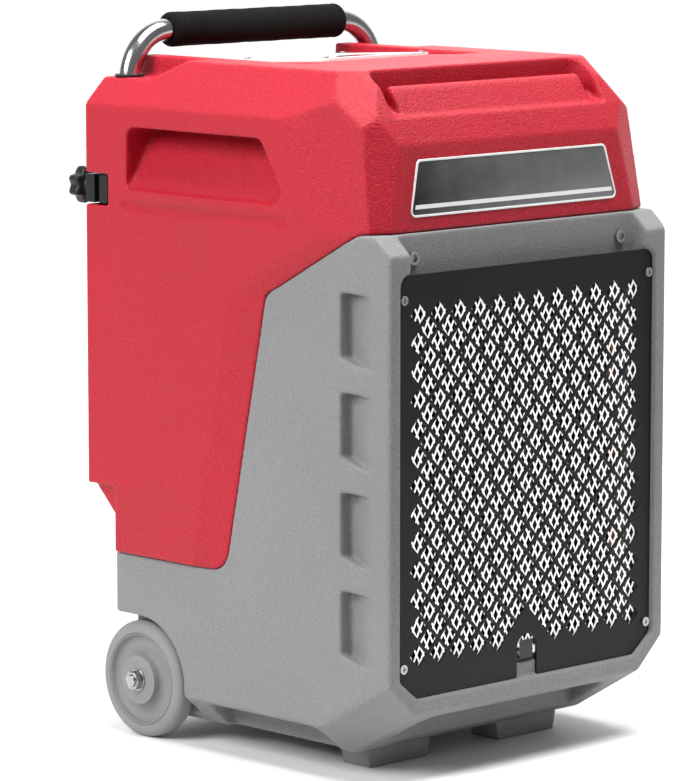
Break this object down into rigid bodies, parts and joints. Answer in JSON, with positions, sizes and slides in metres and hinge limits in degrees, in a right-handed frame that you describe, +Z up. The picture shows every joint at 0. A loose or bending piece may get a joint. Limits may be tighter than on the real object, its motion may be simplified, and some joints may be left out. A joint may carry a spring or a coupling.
{
  "type": "portable dehumidifier",
  "caption": "Wheeled commercial dehumidifier: red over grey moulded housing, square-hole intake grille, blank nameplate, telescoping chrome handle with foam grip and star-knob clamps.",
  "frame": {"origin": "on the floor, in the middle of the machine's overall width and depth", "axes": "+Z up, -Y out through the intake grille at the front, +X towards the right side as seen from the front"},
  "size_m": [0.417, 0.459, 0.7175],
  "materials": {
    "red_plastic": "coarse moulded texture",
    "grey_plastic": "fine moulded texture",
    "black_steel": "satin powder coat",
    "screw_steel": "zinc plated",
    "chrome": "polished",
    "foam": "fine closed-cell foam skin",
    "black_plastic": "moulded",
    "wheel_plastic": "moulded",
    "tyre_rubber": "moulded tread",
    "plate_metal": "brushed, light border",
    "panel_plastic": "smooth",
    "key_plastic": "smooth",
    "display_glass": "clear window",
    "circuit_board": "solder mask",
    "fin_metal": "bare sheet",
    "copper": "bare copper",
    "filter_frame_plastic": "moulded",
    "filter_wire": "expanded wire screen",
    "compressor_paint": "gloss black enamel",
    "rubber": "moulded",
    "galvanised": "galvanised sheet",
    "fan_plastic": "glass-filled",
    "tank_plastic": "natural",
    "capacitor_can": "drawn can"
  },
  "bodies": {
    "housing": {"lower_housing": "grey_plastic", "upper_housing": "red_plastic", "front_grille": "black_steel", "grille_screws": "screw_steel", "housing_screws": "screw_steel", "filter_frame": "filter_frame_plastic", "filter_screen": "filter_wire", "nameplate": "plate_metal", "handle_guides": "black_plastic", "clamp_nut_blocks": "black_plastic", "wheel_axle": "screw_steel", "axle_fasteners": "screw_steel", "front_feet": "grey_plastic", "control_plate": "panel_plastic", "display_lens": "display_glass", "control_board": "circuit_board", "control_screws": "screw_steel", "evaporator_fins": "fin_metal", "condenser_fins": "fin_metal", "evaporator_tube": "copper", "condenser_tube": "copper", "filter_drier": "copper", "capillary_tube": "copper", "accumulator": "compressor_paint", "refrigerant_pipes": "copper", "compressor": "compressor_paint", "compressor_base": "galvanised", "compressor_grommets": "rubber", "compressor_bolts": "screw_steel", "fan_motor": "compressor_paint", "motor_strap": "galvanised", "fan_shroud": "fan_plastic", "base_tray": "galvanised", "drain_pan": "tank_plastic", "pump_tank": "tank_plastic", "pump_head": "black_plastic", "pump_motor": "compressor_paint", "water_hoses": "rubber", "drain_fitting": "black_plastic", "outlet_grille": "black_plastic", "cable_gland": "black_plastic", "run_capacitor": "capacitor_can", "main_lead": "rubber"},
    "handle": {"handle_tube": "chrome", "foam_grip": "foam"},
    "jaw_left": {"clamp_jaw_left": "black_plastic"},
    "jaw_right": {"clamp_jaw_right": "black_plastic"},
    "knob_left": {"clamp_knob_left": "black_plastic"},
    "knob_right": {"clamp_knob_right": "black_plastic"},
    "wheel_left": {"wheel_tyre_left": "tyre_rubber", "wheel_hub_left": "wheel_plastic"},
    "wheel_right": {"wheel_tyre_right": "tyre_rubber", "wheel_hub_right": "wheel_plastic"},
    "fan": {"fan_impeller": "fan_plastic", "fan_shaft": "screw_steel"},
    "key_power": {"button_power": "key_plastic"},
    "key_mode": {"button_mode": "key_plastic"},
    "key_up": {"button_up": "key_plastic"},
    "key_down": {"button_down": "key_plastic"}
  },
  "joints": [
    {"name": "handle_slide", "type": "slide", "parent": "housing", "child": "handle", "axis": [0, 0, 1], "range_m": [0, 0.25]},
    {"name": "jaw_slide_left", "type": "slide", "parent": "housing", "child": "jaw_left", "axis": [0, 1, 0], "range_m": [0, 0.00187]},
    {"name": "knob_turn_left", "type": "hinge", "parent": "jaw_left", "child": "knob_left", "pos_m": [-0.175, 0.2205, 0.5455], "axis": [0, 1, 0], "range_deg": [0, 540]},
    {"name": "jaw_slide_right", "type": "slide", "parent": "housing", "child": "jaw_right", "axis": [0, 1, 0], "range_m": [0, 0.00187]},
    {"name": "knob_turn_right", "type": "hinge", "parent": "jaw_right", "child": "knob_right", "pos_m": [0.175, 0.2205, 0.5455], "axis": [0, 1, 0], "range_deg": [0, 540]},
    {"name": "wheel_roll_left", "type": "hinge", "parent": "housing", "child": "wheel_left", "pos_m": [-0.182, 0.1205, 0.0586], "axis": [1, 0, 0], "continuous": true},
    {"name": "wheel_roll_right", "type": "hinge", "parent": "housing", "child": "wheel_right", "pos_m": [0.182, 0.1205, 0.0586], "axis": [1, 0, 0], "continuous": true},
    {"name": "fan_spin", "type": "hinge", "parent": "housing", "child": "fan", "pos_m": [0, -0.0795, 0.32], "axis": [0, 1, 0], "continuous": true},
    {"name": "press_power", "type": "slide", "parent": "housing", "child": "key_power", "axis": [0, -0.054, -0.9985], "range_m": [0, 0.001], "stiffness_N_per_m": 600, "springref_m": -0.0005},
    {"name": "press_mode", "type": "slide", "parent": "housing", "child": "key_mode", "axis": [0, -0.054, -0.9985], "range_m": [0, 0.001], "stiffness_N_per_m": 600, "springref_m": -0.0005},
    {"name": "press_up", "type": "slide", "parent": "housing", "child": "key_up", "axis": [0, -0.054, -0.9985], "range_m": [0, 0.001], "stiffness_N_per_m": 600, "springref_m": -0.0005},
    {"name": "press_down", "type": "slide", "parent": "housing", "child": "key_down", "axis": [0, -0.054, -0.9985], "range_m": [0, 0.001], "stiffness_N_per_m": 600, "springref_m": -0.0005}
  ],
  "couplings": [
    {"joint": "knob_turn_left", "follows": "jaw_slide_left", "rad_per_m": 5026.5},
    {"joint": "knob_turn_right", "follows": "jaw_slide_right", "rad_per_m": 5026.5}
  ]
}
